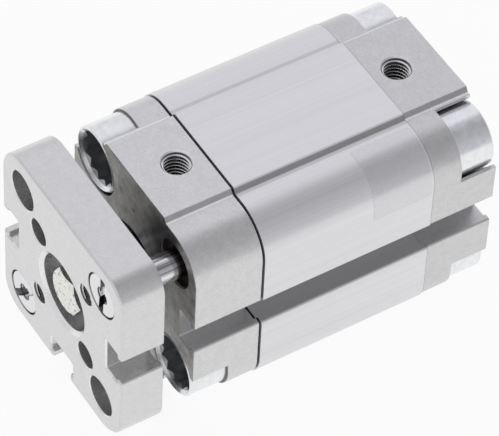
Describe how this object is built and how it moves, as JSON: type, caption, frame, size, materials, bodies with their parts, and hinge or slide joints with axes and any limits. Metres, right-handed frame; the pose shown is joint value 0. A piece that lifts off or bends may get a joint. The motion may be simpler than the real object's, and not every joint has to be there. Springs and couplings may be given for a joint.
{
  "type": "compact pneumatic cylinder",
  "caption": "Compact guided pneumatic cylinder: square profile barrel with sensor slots, end caps with threaded ports and hollow socket screws, and a yoke plate on a sliding rod.",
  "frame": {"origin": "centre of the rear mounting face, on the cylinder's axis", "axes": "+X out along the rod towards the yoke plate, +Z towards the air ports, +Y to the side with the upper guide rod"},
  "size_m": [0.0726, 0.0398, 0.0408],
  "materials": {
    "cap_aluminium": "natural anodised, finely blasted",
    "plate_aluminium": "natural anodised, finely blasted",
    "barrel_aluminium": "natural anodised extrusion",
    "zinc_steel": "bright zinc plated",
    "polished_steel": "ground and polished stainless steel",
    "sintered_bronze": "oiled sintered bronze",
    "piston_aluminium": "as turned",
    "magnet_ferrite": "plastic-bonded ferrite",
    "wear_plastic": "matt",
    "seal_rubber": "matt black",
    "cushion_rubber": "matt elastomer"
  },
  "bodies": {
    "housing": {"rear_cap": "cap_aluminium", "barrel": "barrel_aluminium", "front_gasket": "seal_rubber", "front_cap": "cap_aluminium", "rear_seal_ring": "seal_rubber", "rear_collar_screw_upper_right": "zinc_steel", "rear_collar_screw_upper_left": "zinc_steel", "rear_collar_screw_lower_right": "zinc_steel", "rear_collar_screw_lower_left": "zinc_steel", "front_collar_screw_upper": "zinc_steel", "front_collar_screw_lower": "zinc_steel", "rod_bearing": "sintered_bronze", "rod_seal": "seal_rubber", "guide_bush_upper": "sintered_bronze", "guide_bush_lower": "sintered_bronze", "rear_cushion": "cushion_rubber", "front_cushion": "cushion_rubber"},
    "carriage": {"piston_rod": "polished_steel", "piston_rear_half": "piston_aluminium", "piston_front_half": "piston_aluminium", "piston_magnet": "magnet_ferrite", "piston_wear_ring": "wear_plastic", "piston_seal_rear": "seal_rubber", "piston_seal_front": "seal_rubber", "piston_screw": "zinc_steel", "yoke_plate": "plate_aluminium", "plate_screw": "zinc_steel", "guide_rod_upper": "polished_steel", "guide_rod_lower": "polished_steel"}
  },
  "joints": [
    {"name": "rod_stroke", "type": "slide", "parent": "housing", "child": "carriage", "axis": [1, 0, 0], "range_m": [0, 0.02]}
  ]
}
